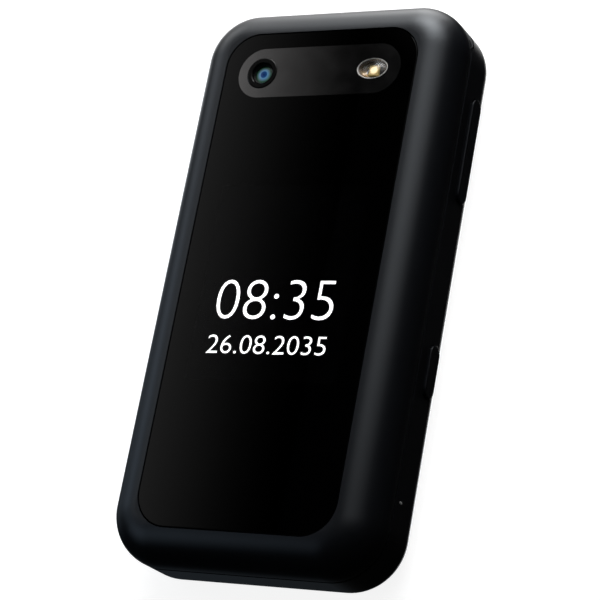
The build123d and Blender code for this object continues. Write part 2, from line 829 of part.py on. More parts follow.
# Front housing: the keypad's plate, with the posts that the base's screws bite into
with BuildPart() as front_housing:
    with BuildSketch(Plane.XY.offset(plate_low)):
        RectangleRounded(
            width - 2 * (base_wall + nest_gap),
            length - 2 * (base_wall + nest_gap),
            corner_radius - base_wall - nest_gap,
        )
        with Locations((0, bay_top_y - nest_gap)):
            Rectangle(width, length, align=(Align.CENTER, Align.MIN), mode=Mode.SUBTRACT)
    extrude(amount=keypad_plate)
    with BuildSketch(Plane.XY.offset(deck_high + bond)):
        with Locations(*base_screw_places):
            Circle(boss_radius)
    extrude(amount=plate_low - deck_high - bond)
    with BuildSketch(Plane.XY.offset(deck_high + bond)):
        with Locations(*base_screw_places):
            Circle(screw_radius)
    extrude(amount=screw_bite - bond, mode=Mode.SUBTRACT)
    with BuildSketch(Plane.XY.offset(plate_low)):
        for name, key_w, key_l, key_r, key_x, key_y in key_shapes:
            with Locations((key_x, key_y)):
                RectangleRounded(key_w + 2 * key_gap, key_l + 2 * key_gap, key_r + key_gap)
        with Locations((0, navigation_y)):
            RectangleRounded(
                navigation_width + 2 * key_gap,
                navigation_length + 2 * key_gap,
                navigation_radius + key_gap,
            )
        with Locations((0, microphone_y)):
            Circle(microphone_hole)
    extrude(amount=keypad_plate, mode=Mode.SUBTRACT)
front_housing.part.label = "front_housing"
parts.append(front_housing.part)

for name, key_w, key_l, key_r, key_x, key_y in key_shapes:
    with BuildPart() as key:
        with BuildSketch(Plane.XY.offset(key_low)):
            with Locations((key_x, key_y)):
                RectangleRounded(key_w, key_l, key_r)
        extrude(amount=key_high - key_low)
        fillet(key.faces().sort_by(Axis.Z)[-1].edges(), key_crown)
        with BuildSketch(Plane.XY.offset(key_low)):
            with Locations((key_x, key_y)):
                RectangleRounded(key_w + 2 * key_rim, key_l + 2 * key_rim, key_r + key_rim)
        extrude(amount=key_flange)
    key.part.label = name
    parts.append(key.part)

# Navigation key: a square ring, with the OK key sunk through its middle
with BuildPart() as navigation_key:
    with BuildSketch(Plane.XY.offset(key_low)):
        with Locations((0, navigation_y)):
            RectangleRounded(navigation_width, navigation_length, navigation_radius)
    extrude(amount=key_high - key_low)
    fillet(navigation_key.faces().sort_by(Axis.Z)[-1].edges(), key_crown)
    with BuildSketch(Plane.XY.offset(key_low)):
        with Locations((0, navigation_y)):
            RectangleRounded(
                navigation_width + 2 * key_rim,
                navigation_length + 2 * key_rim,
                navigation_radius + key_rim,
            )
    extrude(amount=key_flange)
    with BuildSketch(Plane.XY.offset(key_low)):
        with Locations((0, navigation_y)):
            Circle(ok_opening)
    extrude(amount=key_high - key_low, mode=Mode.SUBTRACT)
navigation_key.part.label = "navigation_key"
parts.append(navigation_key.part)

with BuildPart() as ok_key:
    with BuildSketch(Plane.XY.offset(key_low)):
        with Locations((0, navigation_y)):
            Circle(ok_key_radius)
    extrude(amount=key_high - key_low)
    fillet(ok_key.faces().sort_by(Axis.Z)[-1].edges(), key_crown)
ok_key.part.label = "ok_key"
parts.append(ok_key.part)

# Side keys, each held by a flange inside the wall; the volume key rocks on a fulcrum behind it
for name, (key_y, key_span) in zip(("volume_key", "emergency_key"), side_keys):
    with BuildPart() as side_key:
        with BuildSketch(Plane.YZ.offset(side_key_inner)):
            with Locations((key_y, side_key_z)):
                SlotOverall(key_span, side_key_height)
        extrude(amount=side_key_depth)
        fillet(side_key.faces().sort_by(Axis.X)[-1].edges(), key_crown)
        with BuildSketch(Plane.YZ.offset(side_key_inner)):
            with Locations((key_y, side_key_z)):
                SlotOverall(key_span + 2 * side_flange_rim, side_key_height)
        extrude(amount=side_flange)
        if name == "volume_key":
            with BuildSketch(Plane.XY.offset(side_key_z - fulcrum_height / 2)):
                with Locations((side_key_inner, key_y)):
                    Circle(fulcrum_radius)
            extrude(amount=fulcrum_height)
    side_key.part.label = name
    parts.append(side_key.part)

with BuildPart() as side_switches:
    with BuildSketch(Plane.YZ.offset(switch_inner)):
        with Locations(*switch_places):
            Rectangle(switch_length, switch_height)
    extrude(amount=switch_thickness)
side_switches.part.label = "side_switches"
parts.append(side_switches.part)

# Key mat and dome sheet, under the keys
pad_low_y = keypad_low_y - mat_margin
pad_high_y = keypad_high_y + mat_margin
pad_half = keypad_half + key_rim
for name, low, height in (
    ("dome_sheet", domes_low, dome_sheet_thickness),
    ("key_mat", mat_low, key_mat_thickness),
):
    with BuildPart() as pad:
        with BuildSketch(Plane.XY.offset(low)):
            with Locations((0, (pad_low_y + pad_high_y) / 2)):
                RectangleRounded(2 * pad_half, pad_high_y - pad_low_y, key_radius)
            with Locations(*base_screw_places):
                Circle(boss_radius + screw_gap, mode=Mode.SUBTRACT)
        extrude(amount=height)
    pad.part.label = name
    parts.append(pad.part)

# Main circuit board, cut away round the posts and the headset socket
with BuildPart() as main_circuit_board:
    with BuildSketch(Plane.XY.offset(board_low)):
        RectangleRounded(
            width - 2 * board_inset, length - 2 * board_inset, corner_radius - board_inset
        )
        with Locations((0, half_length - board_from_hinge_end)):
            Rectangle(width, length, align=(Align.CENTER, Align.MIN), mode=Mode.SUBTRACT)
        with Locations(*base_screw_places):
            Circle(boss_radius + screw_gap, mode=Mode.SUBTRACT)
        with Locations((-half_width, jack_y)):
            Rectangle(
                2 * (bay_inset + jack_depth + 2 * nest_gap),
                2 * (jack_bore + jack_wall + nest_gap),
                mode=Mode.SUBTRACT,
            )
    extrude(amount=board_thickness)
main_circuit_board.part.label = "main_circuit_board"
parts.append(main_circuit_board.part)

with BuildPart() as shield_can:
    with BuildSketch(Plane.XY.offset(board_low - bond - shield_height)):
        with Locations((shield_x, free_end + shield_from_free_end)):
            RectangleRounded(shield_width, shield_length, small_radius)
    extrude(amount=shield_height)
shield_can.part.label = "shield_can"
parts.append(shield_can.part)

# Battery and what lies behind it
with BuildPart() as battery:
    with BuildSketch(Plane.XY.offset(battery_low)):
        with Locations((0, battery_y)):
            RectangleRounded(battery_width, battery_length, small_radius)
    extrude(amount=battery_thickness)
battery.part.label = "battery"
parts.append(battery.part)

with BuildPart() as battery_contacts:
    with BuildSketch(Plane.XY.offset(floor_high + bond)):
        with Locations((0, bay_end + nest_gap)):
            Rectangle(contact_width, contact_depth, align=(Align.CENTER, Align.MIN))
    extrude(amount=deck_low - floor_high - 2 * bond)
battery_contacts.part.label = "battery_contacts"
parts.append(battery_contacts.part)

with BuildPart() as sim_holder:
    with BuildSketch(Plane.XY.offset(deck_low)):
        with Locations((sim_x, sim_y)):
            Rectangle(sim_width, sim_length)
    extrude(amount=board_low - bond - deck_low)
sim_holder.part.label = "sim_holder"
parts.append(sim_holder.part)

# Pieces in the bay behind the board
with BuildPart() as loudspeaker:
    with BuildSketch(Plane.XY.offset(floor_high + bond)):
        with Locations((speaker_x, speaker_y)):
            RectangleRounded(speaker_width, speaker_length, key_radius)
    extrude(amount=speaker_height)
loudspeaker.part.label = "loudspeaker"
parts.append(loudspeaker.part)

with BuildPart() as microphone:
    with BuildSketch(Plane.XY.offset(plate_low - bond - microphone_height)):
        with Locations((0, microphone_y)):
            RectangleRounded(microphone_size, microphone_size, small_radius)
    extrude(amount=microphone_height)
microphone.part.label = "microphone"
parts.append(microphone.part)

with BuildPart() as vibration_motor:
    with BuildSketch(Plane.YZ.offset(motor_from_side - half_width - motor_length / 2)):
        with Locations((free_end + motor_from_free_end, board_low - bond - motor_radius)):
            Circle(motor_radius)
    extrude(amount=motor_length)
vibration_motor.part.label = "vibration_motor"
parts.append(vibration_motor.part)

with BuildPart() as antenna:
    with BuildSketch(Plane.YZ.offset(half_width - bay_inset - nest_gap - antenna_thickness)):
        with Locations((free_end + antenna_from_free_end, floor_high + bond)):
            Rectangle(antenna_length, antenna_height, align=(Align.CENTER, Align.MIN))
    extrude(amount=antenna_thickness)
antenna.part.label = "antenna"
parts.append(antenna.part)

with BuildPart() as usb_socket:
    with BuildSketch(Plane.YZ.offset(-half_width + socket_inset)):
        with Locations((usb_y, usb_z)):
            RectangleRounded(usb_width, usb_height, small_radius - nest_gap)
    extrude(amount=usb_depth)
    with BuildSketch(Plane.YZ.offset(-half_width + socket_inset)):
        with Locations((usb_y, usb_z)):
            Rectangle(usb_width - 2 * usb_wall, usb_height - 2 * usb_wall)
    extrude(amount=usb_depth - usb_wall, mode=Mode.SUBTRACT)
usb_socket.part.label = "usb_socket"
parts.append(usb_socket.part)

with BuildPart() as headset_socket:
    with BuildSketch(Plane.YZ.offset(-half_width + bay_inset + nest_gap)):
        with Locations((jack_y, jack_z)):
            Rectangle(2 * (jack_bore + jack_wall), 2 * (jack_bore + jack_wall))
    extrude(amount=jack_depth)
    with BuildSketch(Plane.YZ.offset(-half_width + bay_inset + nest_gap)):
        with Locations((jack_y, jack_z)):
            Circle(jack_bore)
    extrude(amount=jack_depth - jack_wall, mode=Mode.SUBTRACT)
headset_socket.part.label = "headset_socket"
parts.append(headset_socket.part)

with BuildPart() as base_screws:
    with BuildSketch(Plane.XY.offset(battery_low + screw_gap)):
        with Locations(*base_screw_places):
            Circle(screw_head_radius)
    extrude(amount=screw_head_height)
    with BuildSketch(Plane.XY.offset(battery_low + screw_gap + screw_head_height)):
        with Locations(*base_screw_places):
            Circle(screw_radius)
    extrude(amount=deck_high + screw_bite - battery_low - screw_gap - screw_head_height)
base_screws.part.label = "base_screws"
parts.append(base_screws.part)

os.makedirs("parts", exist_ok=True)
for part in parts:
    export_step(part, f"parts/{part.label}.step")
print(len(parts), "pieces, closed", width, "x", length, "x", round(thickness, 2))
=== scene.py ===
import bmesh
import bpy
from math import atan2, cos, pi, radians, sin
from mathutils import Matrix, Vector


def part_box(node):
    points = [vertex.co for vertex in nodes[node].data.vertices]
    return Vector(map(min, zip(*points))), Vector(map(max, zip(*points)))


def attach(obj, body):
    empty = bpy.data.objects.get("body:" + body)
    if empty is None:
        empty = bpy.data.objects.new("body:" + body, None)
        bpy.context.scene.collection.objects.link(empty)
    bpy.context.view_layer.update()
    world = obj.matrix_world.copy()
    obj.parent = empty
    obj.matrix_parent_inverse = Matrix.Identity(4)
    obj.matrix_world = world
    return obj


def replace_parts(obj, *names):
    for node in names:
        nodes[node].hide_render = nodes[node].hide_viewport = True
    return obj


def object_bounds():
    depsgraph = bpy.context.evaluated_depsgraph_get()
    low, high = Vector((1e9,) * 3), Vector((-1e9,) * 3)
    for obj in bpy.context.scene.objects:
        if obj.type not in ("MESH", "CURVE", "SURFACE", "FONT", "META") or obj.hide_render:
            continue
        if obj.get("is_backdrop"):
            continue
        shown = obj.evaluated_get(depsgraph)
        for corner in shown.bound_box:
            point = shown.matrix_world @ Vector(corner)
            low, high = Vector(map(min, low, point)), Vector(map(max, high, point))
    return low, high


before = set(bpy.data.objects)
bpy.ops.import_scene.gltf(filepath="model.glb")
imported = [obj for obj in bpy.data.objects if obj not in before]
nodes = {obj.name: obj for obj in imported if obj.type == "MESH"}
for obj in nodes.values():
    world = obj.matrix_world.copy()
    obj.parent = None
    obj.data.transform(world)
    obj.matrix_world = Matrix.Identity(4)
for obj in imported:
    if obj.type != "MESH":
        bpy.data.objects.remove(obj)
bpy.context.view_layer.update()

MM = 0.001
white = (1, 1, 1, 1)
scene = bpy.context.scene


# -------------------- shader maths


def build(tree, kind, settings=None, **inputs):
    """Adds a node: first its own settings, then its sockets, by name or by place as _0, _1."""
    node = tree.nodes.new(kind)
    for name, value in (settings or {}).items():
        if name == "stops":
            ramp = node.color_ramp
            while len(ramp.elements) < len(value):
                ramp.elements.new(0.5)
            for element, (place, colour) in zip(ramp.elements, value):
                element.position = place
                element.color = (*colour, 1.0)
        else:
            setattr(node, name, value)
    for name, value in inputs.items():
        place = name.lstrip("_")
        socket = node.inputs[int(place)] if place.isdigit() else node.inputs[name.replace("_", " ")]
        if isinstance(value, Wire):
            tree.links.new(value.socket, socket)
        elif value is not None:
            socket.default_value = value
    return node


class Wire:
    """One output socket, with the arithmetic that the materials use."""

    def __init__(self, tree, socket):
        self.tree = tree
        self.socket = socket

    def math(self, operation, *others, clamp=False):
        values = {f"_{place}": value for place, value in enumerate((self, *others))}
        settings = {"operation": operation, "use_clamp": clamp}
        return Wire(self.tree, build(self.tree, "ShaderNodeMath", settings, **values).outputs[0])

    def flipped(self, operation, other):
        node = build(self.tree, "ShaderNodeMath", {"operation": operation}, _0=other, _1=self)
        return Wire(self.tree, node.outputs[0])

    def __add__(self, other):
        return self.math("ADD", other)

    __radd__ = __add__

    def __mul__(self, other):
        return self.math("MULTIPLY", other)

    __rmul__ = __mul__

    def __sub__(self, other):
        return self.math("SUBTRACT", other)

    def __rsub__(self, other):
        return self.flipped("SUBTRACT", other)

    def __truediv__(self, other):
        return self.math("DIVIDE", other)

    def __abs__(self):
        return self.math("ABSOLUTE")

    def below(self, edge, soft):
        """1 where the value is under edge, falling to 0 over a soft distance."""
        return ((edge - self) / soft + 0.5).math("ADD", 0.0, clamp=True)


class Finish:
    """A material under construction: a Principled shader and the nodes that feed it."""

    def __init__(self, name, **sockets):
        self.material = bpy.data.materials.new(name)
        self.material.use_nodes = True
        self.tree = self.material.node_tree
        self.shader = self.tree.nodes["Principled BSDF"]
        self.output = self.tree.nodes["Material Output"]
        self.set(**sockets)

    def set(self, **sockets):
        for name, value in sockets.items():
            socket = self.shader.inputs[name.replace("_", " ")]
            if isinstance(value, Wire):
                self.tree.links.new(value.socket, socket)
            else:
                socket.default_value = value

    def node(self, kind, settings=None, output=0, **inputs):
        return Wire(self.tree, build(self.tree, kind, settings, **inputs).outputs[output])

    def place(self):
        """The point on the piece, in millimetres."""
        point = self.node("ShaderNodeTexCoord", output="Object")
        return self.node("ShaderNodeVectorMath", {"operation": "SCALE"}, _0=point, Scale=1 / MM)

    def axes(self):
        point = self.place()
        node = build(self.tree, "ShaderNodeSeparateXYZ", None, Vector=point)
        return [Wire(self.tree, socket) for socket in node.outputs]

    def noise(self, size, detail=2.0, roughness=0.5):
        """Noise whose features are about size millimetres across."""
        sockets = {"Scale": 1 / size, "Detail": detail, "Roughness": roughness}
        return self.node("ShaderNodeTexNoise", None, Vector=self.place(), **sockets)

    def blend(self, mask, low, high):
        """A colour from low to high as mask goes from 0 to 1."""
        colours = [value if isinstance(value, Wire) else (*value, 1.0) for value in (low, high)]
        settings = {"data_type": "RGBA"}
        return self.node("ShaderNodeMix", settings, 2, _0=mask, _6=colours[0], _7=colours[1])

    def bump(self, height, distance):
        """Bumps of a height in millimetres."""
        self.set(Normal=self.node("ShaderNodeBump", None, Height=height, Distance=distance * MM))
        return self


# -------------------- camera

camera_azimuth = radians(57.4)
camera_elevation = radians(55.38)
camera_roll = radians(-51.49)
camera_distance = 407.5 * MM
camera_target = Vector((-0.4, -1.85, 8.95)) * MM
camera_lens = 134.5
camera_sensor = 36


def direction(azimuth, elevation):
    """A unit vector: azimuth turns from +X towards +Y, elevation up from the floor, in degrees."""
    turn, rise = radians(azimuth), radians(elevation)
    return Vector((cos(rise) * cos(turn), cos(rise) * sin(turn), sin(rise)))


def add_camera():
    right = Vector((cos(camera_azimuth), sin(camera_azimuth), 0))
    level, rise = cos(camera_elevation), sin(camera_elevation)
    back = Vector((sin(camera_azimuth) * level, -cos(camera_azimuth) * level, rise))
    turned = Matrix.Rotation(camera_roll, 3, back) @ right
    up = back.cross(turned)
    data = bpy.data.cameras.new("camera")
    data.lens = camera_lens
    data.sensor_width = camera_sensor
    camera = bpy.data.objects.new("camera", data)
    scene.collection.objects.link(camera)
    turn = Matrix((turned, up, back)).transposed().to_4x4()
    camera.matrix_world = Matrix.Translation(camera_target + back * camera_distance) @ turn
    scene.camera = camera


# -------------------- studio: floor, light dome and card

floor_half = 3.0
floor_drop = 0.0002
floor_white = 0.88  # what the camera sees where the floor is in full shade
floor_shade = 0.36  # how strongly the phone's shadow shows
phone_middle = Vector((0, 0, 0.009))

dome_radius = 0.4
dome_segments, dome_rings = 48, 24
glow_width = 12  # degrees, from a soft light's middle to about 0.6 of its brightness
glow_end = 0.045  # the share of its brightness at which a soft light stops
soft_lights = (  # azimuth and elevation of each, in degrees, and its brightness
    (90, 28, 9.24),
    (102, -8, 4.2),
    (76, 28, 3.64),
    (90, 4, 3.08),
    (130, 16, 2.94),
    (86, 40, 2.38),
    (137, -32, 1.5),
    (69, 64, 1.75),
    (55, 40, 1.68),
    (165, 24, 1.1),
    (211, 40, 0.84),
    (30, 52, 0.6),
    (174, -8, 0.2),
    (125, -66, 3.6),
    (215, -50, 0.04),
)
dome_fill = 0.006  # the dome's faint light where no soft light reaches
cool_light = (0.82, 1.0, 1.2)  # the tint of the light from -X and the free end
cool_edges = ((-0.3, 0.4), (0.38, 0.45))  # where that tint fades out on X and Y, and how softly
card_height = 0.25
card_edge = -0.122  # where the card's light has faded out, on X
card_fade = 0.05  # and how far from there it reaches its edge brightness
card_light = 0.35
card_most = 1.26
card_half = (0.064, 0.095)
card_y = 0.08


def stage_piece(name, shape, material):
    mesh = bpy.data.meshes.new(name)
    shape.to_mesh(mesh)
    shape.free()
    mesh.materials.append(material)
    piece = bpy.data.objects.new(name, mesh)
    scene.collection.objects.link(piece)
    piece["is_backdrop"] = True
    return piece


def sheet(half, place):
    shape = bmesh.new()
    bmesh.ops.create_grid(shape, x_segments=1, y_segments=1, size=1)
    bmesh.ops.scale(shape, verts=shape.verts, vec=(half[0], half[1], 1))
    bmesh.ops.translate(shape, verts=shape.verts, vec=place)
    return shape


def glow(tree, strength, colour=white):
    return build(tree, "ShaderNodeEmission", None, Color=colour, Strength=strength).outputs[0]


def seen_by_camera(tree):
    return Wire(tree, build(tree, "ShaderNodeLightPath").outputs["Is Camera Ray"])


def add_floor():
    """The camera sees a white floor with a soft shadow. Other rays pass through to the dome."""
    shade = (floor_shade, floor_shade, floor_shade, 1)
    finish = Finish("pale_floor", Base_Color=shade, Roughness=0.8, Specular_IOR_Level=0.0)
    tree = finish.tree
    seen = build(tree, "ShaderNodeAddShader")
    tree.links.new(finish.shader.outputs[0], seen.inputs[0])
    tree.links.new(glow(tree, floor_white), seen.inputs[1])
    camera_ray = seen_by_camera(tree)
    mix = build(tree, "ShaderNodeMixShader", None, _0=camera_ray)
    clear_floor = build(tree, "ShaderNodeBsdfTransparent")
    tree.links.new(clear_floor.outputs[0], mix.inputs[1])
    tree.links.new(seen.outputs[0], mix.inputs[2])
    tree.links.new(mix.outputs[0], finish.output.inputs["Surface"])
    stage_piece("floor", sheet((floor_half, floor_half), (0, 0, -floor_drop)), finish.material)


def add_dome():
    """A dome of soft lights round the phone, which the camera doesn't see."""
    finish = Finish("dome_light")
    tree = finish.tree
    point = finish.node("ShaderNodeTexCoord", output="Object")
    ends = {"_0": point, "_1": phone_middle}
    towards = finish.node("ShaderNodeVectorMath", {"operation": "SUBTRACT"}, **ends)
    towards = finish.node("ShaderNodeVectorMath", {"operation": "NORMALIZE"}, _0=towards)
    focus = 1 / radians(glow_width) ** 2
    total = None
    for azimuth, elevation, strength in soft_lights:
        ends = {"_0": towards, "_1": direction(azimuth, elevation)}
        near = finish.node("ShaderNodeVectorMath", {"operation": "DOT_PRODUCT"}, 1, **ends)
        light = (((near - 1) * focus).math("EXPONENT") - glow_end).math("MAXIMUM", 0.0) * strength
        total = light if total is None else total + light
    parts = build(tree, "ShaderNodeSeparateXYZ", None, Vector=towards).outputs
    x, y = [Wire(tree, socket) for socket in parts[:2]]
    cool_side = x.below(*cool_edges[0]) * y.below(*cool_edges[1])
    colour = finish.blend(cool_side, (1, 1, 1), cool_light)
    tree.links.new(glow(tree, total + dome_fill, colour), finish.output.inputs["Surface"])
    shape = bmesh.new()
    bmesh.ops.create_uvsphere(
        shape, u_segments=dome_segments, v_segments=dome_rings, radius=dome_radius
    )
    bmesh.ops.translate(shape, verts=shape.verts, vec=phone_middle)
    dome = stage_piece("light_dome", shape, finish.material)
    dome.visible_camera = False
    dome.visible_shadow = False


def add_card():
    """A card over the phone that fades out towards +X, for the soft gradient in the glass."""
    finish = Finish("light_card")
    tree = finish.tree
    x, _, _ = finish.axes()
    reach = ((card_edge / MM - x) / (card_fade / MM)).math("MAXIMUM", 0.0)
    strength = (reach * reach * card_light).math("MINIMUM", card_most)
    tree.links.new(glow(tree, strength), finish.output.inputs["Surface"])
    middle = (card_edge - card_half[0], card_y, card_height)
    card = stage_piece("light_card", sheet(card_half, middle), finish.material)
    card.visible_camera = False
    card.visible_shadow = False


def light_scene():
    world = bpy.data.worlds.new("studio")
    scene.world = world
    world.use_nodes = True
    tree = world.node_tree
    camera_ray = seen_by_camera(tree)
    backdrop = tree.nodes["Background"]
    backdrop.inputs["Color"].default_value = white
    tree.links.new(camera_ray.socket, backdrop.inputs["Strength"])
    scene.view_settings.view_transform = "Standard"


add_camera()
add_floor()
add_dome()
add_card()
light_scene()


# -------------------- finishes

casing_tint = (0.88, 0.94, 1.0, 1)
brightest = 1.1  # times its colour, in the lightest patches of a finish
texture_grain = 0.3
outer_view = (15.2, 18.7)  # half sizes of the clear part over each display
outer_view_y = -2.0
inner_view = (21.6, 28.8)
inner_view_y = -8.5
view_edge = 0.2  # how softly the print ends round the clear part
back_layer = 0.2  # how far from a pane's back face it still counts as bonded
bond_edge = 0.05
glass_print = (0.0005, 0.0005, 0.0005)
clear_glass = (0.96, 0.96, 0.96)
board_green = (0.006, 0.06, 0.022)
board_track = (0.015, 0.13, 0.04)
pad_tin = (0.62, 0.6, 0.56)
# Painted shade in the holes of a perforated plate.
hole_shade_black = (0.003, 0.003, 0.003)
dome_steel = (0.6, 0.6, 0.6)
dome_film = (0.55, 0.5, 0.38)


def tinted(finish, mask, colour, low=0.88):
    """A colour that goes from low times itself to its brightest with a mask."""
    return finish.blend(mask, [low * c for c in colour], [brightest * c for c in colour])


def casing(name, colour, roughness, gloss=0.34):
    """Moulded plastic with a fine matt texture, a little uneven in its sheen."""
    finish = Finish(name, Specular_IOR_Level=gloss, Specular_Tint=casing_tint)
    patches = finish.noise(14, 3)
    finish.set(
        Base_Color=tinted(finish, patches, colour),
        Roughness=roughness - 0.03 + 0.04 * patches + 0.02 * finish.noise(0.4),
    )
    return finish.bump(finish.noise(0.12, 1), 0.002).material


def plain(name, colour, roughness, metallic=0.0, depth=0.003, **sockets):
    """A finish whose colour and sheen vary a little."""
    finish = Finish(name, Metallic=metallic, **sockets)
    patches = finish.noise(3, 3)
    finish.set(Base_Color=tinted(finish, patches, colour), Roughness=roughness + 0.06 * patches)
    return finish.bump(finish.noise(texture_grain, 2), depth).material


def brushed(name, colour, roughness, grain=(0.02, 1.0, 1.0)):
    """Sheet metal with fine lines across the shortest of the grain's three sizes."""
    finish = Finish(name, Metallic=1.0)
    ends = {"_0": finish.place(), "_1": grain}
    stretched = finish.node("ShaderNodeVectorMath", {"operation": "DIVIDE"}, **ends)
    lines = finish.node("ShaderNodeTexNoise", None, Vector=stretched, Scale=0.5, Detail=2.0)
    patches = finish.noise(2.5, 3)
    finish.set(
        Base_Color=tinted(finish, lines, colour, 0.8),
        Roughness=roughness + 0.12 * lines + 0.06 * patches,
    )
    return finish.bump(lines, 0.004).material


def board(name):
    """A printed circuit board: green mask over copper tracks, with tinned pads."""
    finish = Finish(name, Coat_Weight=0.4)
    x, y, _ = finish.axes()
    settings = {"feature": "F1", "distance": "CHEBYCHEV"}
    sockets = {"Vector": finish.place(), "Scale": 0.22, "Randomness": 0.8}
    cells = build(finish.tree, "ShaderNodeTexVoronoi", settings, **sockets)
    pads = Wire(finish.tree, cells.outputs["Distance"]).below(0.16, 0.02)
    bend = finish.noise(9, 1)
    tracks = abs(((x + 6 * bend) * 1.1).math("SINE")).below(0.35, 0.1)
    tracks = tracks * finish.noise(4, 1).below(0.52, 0.03)
    green = finish.blend(tracks, board_green, board_track)
    finish.set(
        Base_Color=finish.blend(pads, green, pad_tin),
        Metallic=pads * 0.9,
        Roughness=0.35 + 0.1 * finish.noise(2),
    )
    return finish.bump(tracks + pads, 0.02).material


def perforated(name, colour, pitch):
    """A plate with a staggered grid of small holes, painted dark as the shade inside them."""
    finish = Finish(name)
    x, y, _ = finish.axes()
    turn = 2 * pi / pitch
    waves = (x * turn).math("SINE") * (y * turn).math("SINE")
    holes = 1 - waves.below(0.35, 0.2)
    finish.set(
        # The holes are painted dark: painted shade in the holes.
        Base_Color=finish.blend(holes, colour, hole_shade_black),
        Metallic=1 - holes,
        Roughness=0.35 + 0.3 * holes,
    )
    return finish.bump(1 - holes, 0.04).material


def printed_glass(name, half, middle_y, bonded):
    """Clear glass, printed black except over the display, to which its back is bonded.

    bonded takes a height and gives 1 on the back face."""
    finish = Finish(name, Transmission_Weight=1.0, IOR=1.41)
    x, y, z = finish.axes()
    clear_across = abs(x).below(half[0], view_edge)
    clear_part = clear_across * abs(y - middle_y).below(half[1], view_edge)
    finish.set(
        Base_Color=finish.blend(clear_part, glass_print, clear_glass),
        Roughness=0.02 + 0.02 * finish.noise(18, 2),
        Alpha=1 - clear_part * bonded(z),
    )
    return finish.material


def distance_from(finish, middle):
    """How far a point is, in plan, from a vertical line through the middle, in millimetres."""
    x, y, _ = finish.axes()
    across, along = x - middle[0], y - middle[1]
    return (across * across + along * along).math("SQRT")


def coated_lens(name, middle, rings, roughness):
    """A lens tinted by (distance from its middle, colour) pairs, whose bright rings are painted
    glints.
    """
    finish = Finish(name, Coat_Weight=0.36, Coat_Roughness=0.05, Specular_IOR_Level=0.2)
    reach = distance_from(finish, middle)
    largest = rings[-1][0]
    settings = {"stops": [(distance / largest, colour) for distance, colour in rings]}
    finish.set(
        Base_Color=finish.node("ShaderNodeValToRGB", settings, Fac=reach / largest),
        Roughness=roughness + 0.05 * finish.noise(0.5),
    )
    return finish.material


def phosphor(name, middle, bright, colour, edge):
    """An LED's phosphor, brightest over its die, where it also has a painted glow."""
    finish = Finish(name, Emission_Strength=1.0)
    die = distance_from(finish, middle).below(bright, 0.45)
    finish.set(
        Base_Color=finish.blend(die, edge, colour),
        # Painted glow: the phosphor gives out light, most over its die.
        Emission_Color=finish.blend(die, [0.3 * c for c in edge], colour),
        Roughness=0.45 + 0.1 * finish.noise(0.5),
    )
    return finish.material


def rubber(name, colour):
    finish = Finish(name, Specular_IOR_Level=0.3)
    finish.set(
        Base_Color=tinted(finish, finish.noise(1.5, 3), colour, 0.8),
        Roughness=0.6 + 0.15 * finish.noise(0.5),
    )
    return finish.bump(finish.noise(0.15, 2), 0.01).material


def wrapped(name, colour, seam_x):
    """Printed foil round a cell: slightly creased, with a glued seam."""
    finish = Finish(name)
    x, _, _ = finish.axes()
    seam = abs(x - seam_x).below(0.3, 0.15)
    creases = finish.noise(6, 4, 0.6)
    finish.set(
        Base_Color=finish.blend(seam, [0.7 * c for c in colour], colour),
        Roughness=0.32 + 0.14 * creases,
    )
    return finish.bump(creases + seam, 0.06).material


def domed(name):
    """A clear film over steel domes, one under each key."""
    finish = Finish(name)
    settings = {"feature": "F1"}
    sockets = {"Vector": finish.place(), "Scale": 0.12, "Randomness": 0.0}
    cells = build(finish.tree, "ShaderNodeTexVoronoi", settings, **sockets)
    domes = Wire(finish.tree, cells.outputs["Distance"]).below(0.28, 0.04)
    finish.set(
        Base_Color=finish.blend(domes, dome_film, dome_steel),
        Metallic=domes,
        Roughness=0.3 + 0.2 * finish.noise(3),
    )
    return finish.bump(domes, 0.2).material


def dress(material, *names):
    for name in names:
        slots = nodes[name].data.materials
        slots.clear()
        slots.append(material)


lit = plain("lit_digits", (0.8, 0.8, 0.8), 0.5, Emission_Strength=1.1, Emission_Color=white)
legend = plain("key_legend", (0.7, 0.7, 0.7), 0.5)
green_mark = plain("green_legend", (0.05, 0.5, 0.1), 0.5)
red_mark = plain("red_legend", (0.6, 0.03, 0.02), 0.5)
dark_barrel = plain("barrel_black", (0.003, 0.003, 0.003), 0.4, Specular_IOR_Level=0.14)
reflector = plain("flash_reflector", (0.1, 0.065, 0.03), 0.25, metallic=1.0)
bezel = plain("flash_bezel", (0.5, 0.49, 0.47), 0.3)
clear = plain("clear_plastic", (0.9, 0.9, 0.9), 0.08, Transmission_Weight=1.0, IOR=1.5)
pale_bead = plain("charge_light_bead", (0.35, 0.35, 0.35), 0.3)


# -------------------- making pieces

crease = 35  # degrees, from which an edge is drawn sharp
weld = 1e-7  # metres
round_segments = 48


def finished_piece(name, shape, body, material):
    """Turns a bmesh into a named piece that moves with a body of the phone."""
    bmesh.ops.remove_doubles(shape, verts=shape.verts, dist=weld)
    bmesh.ops.recalc_face_normals(shape, faces=shape.faces)
    mesh = bpy.data.meshes.new(name)
    shape.to_mesh(mesh)
    shape.free()
    mesh.shade_smooth()
    mesh.set_sharp_from_angle(angle=radians(crease))
    mesh.materials.append(material)
    piece = bpy.data.objects.new(name, mesh)
    scene.collection.objects.link(piece)
    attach(piece, body)
    return piece


def moved(shape, offset, verts=None):
    bmesh.ops.translate(shape, verts=verts or shape.verts, vec=Vector(offset) * MM)


def turned_profile(outline, segments=round_segments, closed=True):
    """A ring or cup turned about +Z from (radius, height) points in millimetres."""
    shape = bmesh.new()
    verts = [shape.verts.new((radius * MM, 0, height * MM)) for radius, height in outline]
    edges = [shape.edges.new(pair) for pair in zip(verts, verts[1:])]
    if closed:
        edges.append(shape.edges.new((verts[-1], verts[0])))
    geometry = verts + edges
    bmesh.ops.spin(
        shape, geom=geometry, axis=(0, 0, 1), angle=2 * pi, steps=segments, use_merge=True
    )
    return shape


